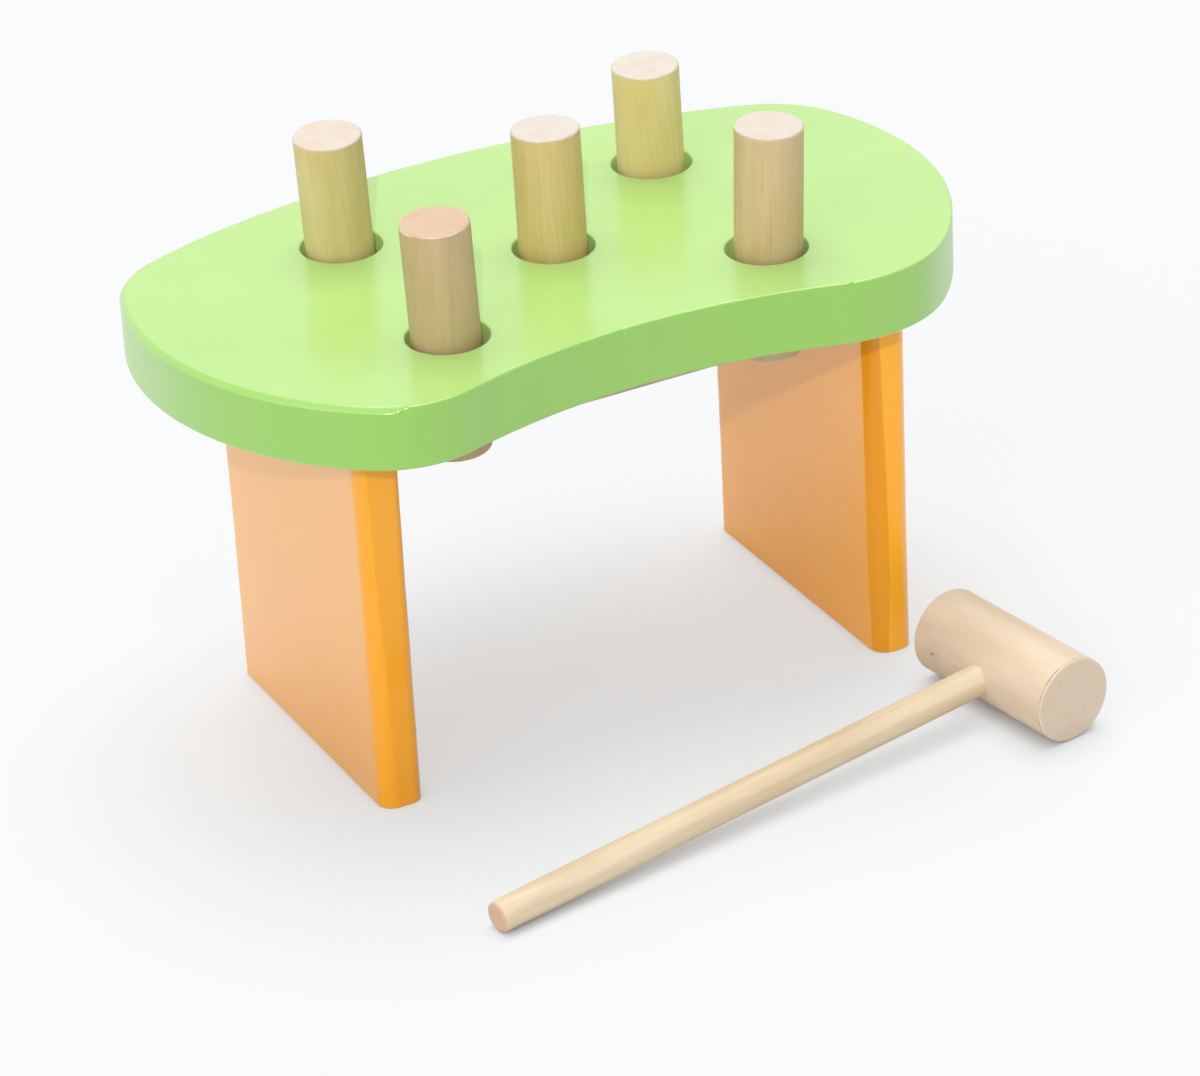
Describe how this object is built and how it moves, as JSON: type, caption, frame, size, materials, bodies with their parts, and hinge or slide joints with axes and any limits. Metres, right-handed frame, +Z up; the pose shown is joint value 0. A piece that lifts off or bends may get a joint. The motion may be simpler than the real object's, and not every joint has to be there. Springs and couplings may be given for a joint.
{
  "type": "peg pounding bench",
  "caption": "Toy pounding bench: a kidney-shaped painted board on plank legs, round pegs that a small wooden mallet drives down through rubber rings.",
  "frame": {"origin": "on the floor, at the middle of the space that bench and mallet take up", "axes": "+X along the bench, +Y towards its bowed back edge, +Z up"},
  "size_m": [0.3065, 0.2523, 0.2171],
  "materials": {
    "green_paint": "light green satin paint on solid wood",
    "orange_paint": "orange satin paint on solid wood",
    "peg_wood": "bare hardwood, pale end grain",
    "beech": "bare beech, finely sanded",
    "plywood": "thin plywood, grey-green edge",
    "rubber": "dark matt rubber",
    "zinc": "zinc-plated steel"
  },
  "bodies": {
    "bench": {"bench_board": "green_paint", "left_leg": "orange_paint", "right_leg": "orange_paint", "leg_dowels": "beech", "ring_plate": "plywood", "plate_screws": "zinc", "back_left_ring": "rubber", "front_left_ring": "rubber", "centre_ring": "rubber", "back_right_ring": "rubber", "front_right_ring": "rubber"},
    "back_left_peg": {"back_left_peg": "peg_wood"},
    "front_left_peg": {"front_left_peg": "peg_wood"},
    "centre_peg": {"centre_peg": "peg_wood"},
    "back_right_peg": {"back_right_peg": "peg_wood"},
    "front_right_peg": {"front_right_peg": "peg_wood"},
    "mallet": {"mallet_head": "beech", "mallet_handle": "beech"}
  },
  "joints": [
    {"name": "back_left_peg_slide", "type": "slide", "parent": "bench", "child": "back_left_peg", "axis": [-0.0436, -0.0244, 0.9988], "range_m": [-0.0449, 0.0161]},
    {"name": "front_left_peg_slide", "type": "slide", "parent": "bench", "child": "front_left_peg", "axis": [-0.0332, -0.0017, 0.9994], "range_m": [-0.0443, 0.0167]},
    {"name": "centre_peg_slide", "type": "slide", "parent": "bench", "child": "centre_peg", "axis": [0.0035, 0.0279, 0.9996], "range_m": [-0.0455, 0.0155]},
    {"name": "back_right_peg_slide", "type": "slide", "parent": "bench", "child": "back_right_peg", "axis": [-0.0192, -0.0122, 0.9997], "range_m": [-0.0397, 0.0213]},
    {"name": "front_right_peg_slide", "type": "slide", "parent": "bench", "child": "front_right_peg", "axis": [0.0279, -0.0227, 0.9994], "range_m": [-0.0477, 0.0133]},
    {"name": "mallet_lift", "type": "slide", "parent": "bench", "child": "mallet", "axis": [0, -0.2588, 0.9659], "range_m": [0, 0.25]}
  ]
}
